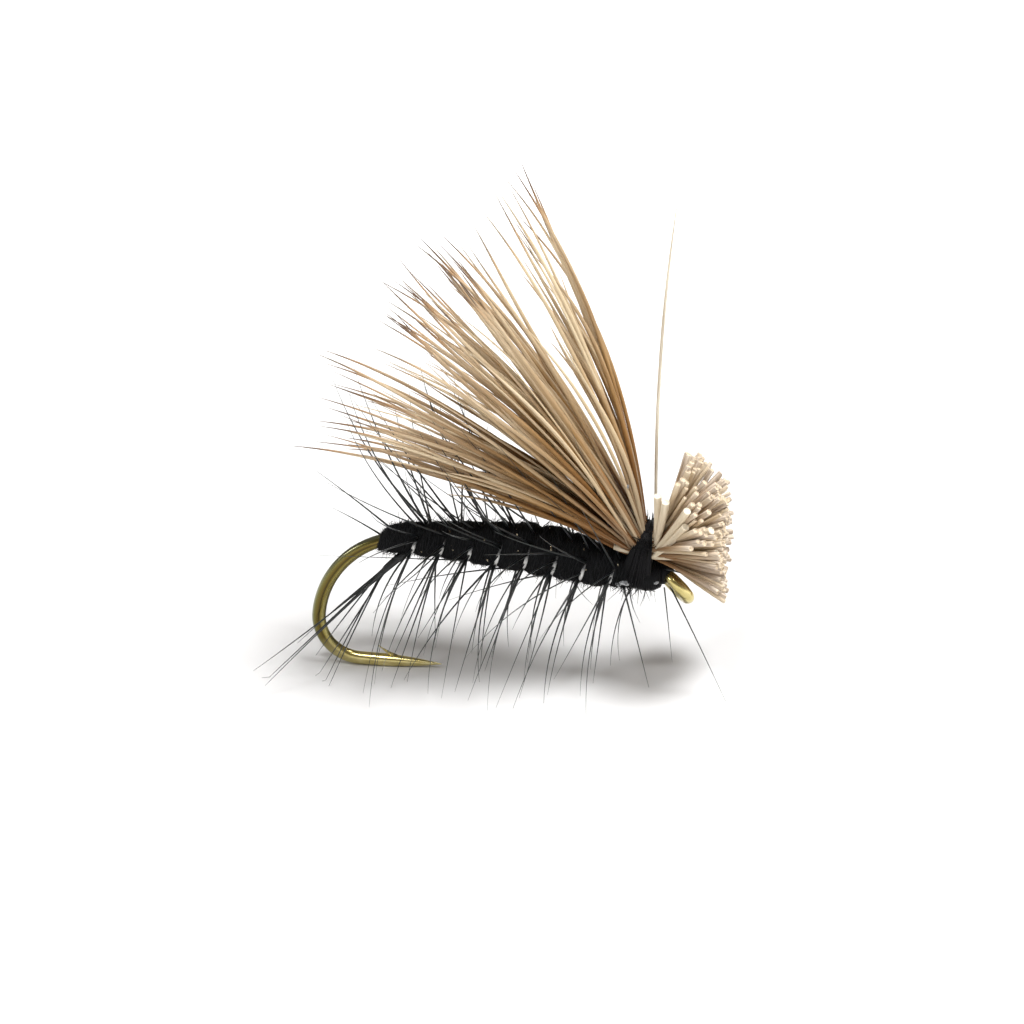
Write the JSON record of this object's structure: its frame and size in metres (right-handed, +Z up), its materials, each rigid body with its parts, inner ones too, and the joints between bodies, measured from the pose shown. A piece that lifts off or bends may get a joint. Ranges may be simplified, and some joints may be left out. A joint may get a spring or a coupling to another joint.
{
  "type": "dry fly",
  "caption": "Elk-hair style dry fly: barbed down-eye hook, black dubbed body with palmered feather and rib wire, tan hair wing swept back, trimmed hair-butt head.",
  "frame": {"origin": "on the surface the fly stands on, under the middle of its outline", "axes": "+X from the hook's bend towards its eye, +Z up, the hook lies in a plane normal to Y"},
  "size_m": [0.0148, 0.011, 0.0158],
  "materials": {
    "bronze": "polished",
    "thread": "satin",
    "dubbing": "matte",
    "feather": "satin",
    "rib": "satin",
    "hair_tan": "satin",
    "hair_pale": "satin",
    "varnish": "gloss"
  },
  "bodies": {
    "root": {"hook": "bronze", "thread_base": "thread", "dubbed_body": "dubbing", "hackle_turn_1": "feather", "hackle_turn_2": "feather", "hackle_turn_3": "feather", "hackle_turn_4": "feather", "hackle_turn_5": "feather", "hackle_turn_6": "feather", "hackle_turn_7": "feather", "hackle_turn_8": "feather", "hackle_tip": "feather", "rib_wire": "rib", "wing_hair_01": "hair_tan", "wing_hair_02": "hair_tan", "wing_hair_03": "hair_tan", "wing_hair_04": "hair_tan", "wing_hair_05": "hair_tan", "wing_hair_06": "hair_tan", "wing_hair_07": "hair_tan", "wing_hair_08": "hair_tan", "wing_hair_09": "hair_tan", "wing_hair_10": "hair_tan", "wing_hair_11": "hair_tan", "wing_hair_12": "hair_tan", "wing_hair_13": "hair_tan", "wing_hair_14": "hair_tan", "wing_hair_15": "hair_tan", "wing_hair_16": "hair_tan", "wing_hair_17": "hair_tan", "wing_hair_18": "hair_tan", "wing_hair_19": "hair_tan", "wing_hair_20": "hair_tan", "wing_hair_21": "hair_tan", "wing_hair_22": "hair_tan", "wing_hair_23": "hair_tan", "wing_hair_24": "hair_tan", "wing_hair_25": "hair_tan", "wing_hair_26": "hair_tan", "wing_hair_27": "hair_tan", "wing_hair_28": "hair_tan", "wing_hair_29": "hair_tan", "wing_hair_30": "hair_tan", "wing_hair_31": "hair_tan", "wing_hair_32": "hair_tan", "wing_hair_33": "hair_tan", "wing_hair_34": "hair_tan", "wing_hair_35": "hair_tan", "wing_hair_36": "hair_tan", "wing_hair_37": "hair_tan", "wing_hair_38": "hair_tan", "wing_hair_39": "hair_tan", "wing_hair_40": "hair_tan", "stray_hair": "hair_pale", "thread_collar": "thread", "thread_head": "thread", "whip_finish": "thread", "head_cement": "varnish"}
  },
  "joints": []
}
